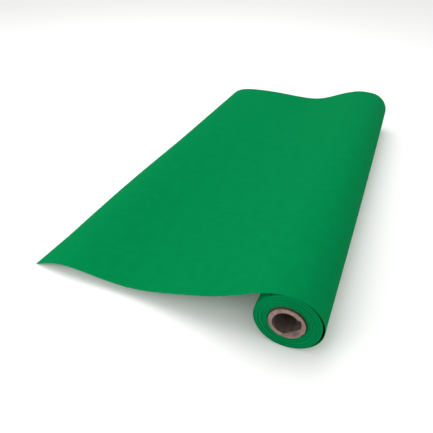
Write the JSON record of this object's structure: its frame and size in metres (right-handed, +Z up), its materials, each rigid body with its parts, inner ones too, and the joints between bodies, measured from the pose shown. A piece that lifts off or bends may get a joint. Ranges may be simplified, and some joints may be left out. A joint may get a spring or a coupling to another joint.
{
  "type": "backdrop paper roll",
  "caption": "Roll of plain green backdrop paper wound on a thick spiral-wound board core, lying on a table and partly unrolled, its free sheet sagging and curling at the cut edge.",
  "frame": {"origin": "on the axis of the core's bore, half way along the roll", "axes": "+Y along the roll, +Z up from the table, the free sheet runs towards -X"},
  "size_m": [0.6471, 1.108, 0.1293],
  "materials": {
    "sheet_paper": "matt",
    "wound_paper": "matt",
    "masking_tape": "matt",
    "liner_board": "matt",
    "core_board": "matt",
    "cover_board": "matt"
  },
  "bodies": {
    "sheet": {"loose_sheet": "sheet_paper"},
    "roll": {"wound_paper": "wound_paper", "starter_tape": "masking_tape", "core_ply_01": "liner_board", "core_ply_02": "core_board", "core_ply_03": "core_board", "core_ply_04": "core_board", "core_ply_05": "core_board", "core_ply_06": "core_board", "core_ply_07": "core_board", "core_ply_08": "core_board", "core_ply_09": "core_board", "core_ply_10": "cover_board"}
  },
  "joints": [
    {"name": "roll_turn", "type": "hinge", "parent": "sheet", "child": "roll", "pos_m": [0, 0, 0], "axis": [0, 1, 0], "continuous": true}
  ]
}
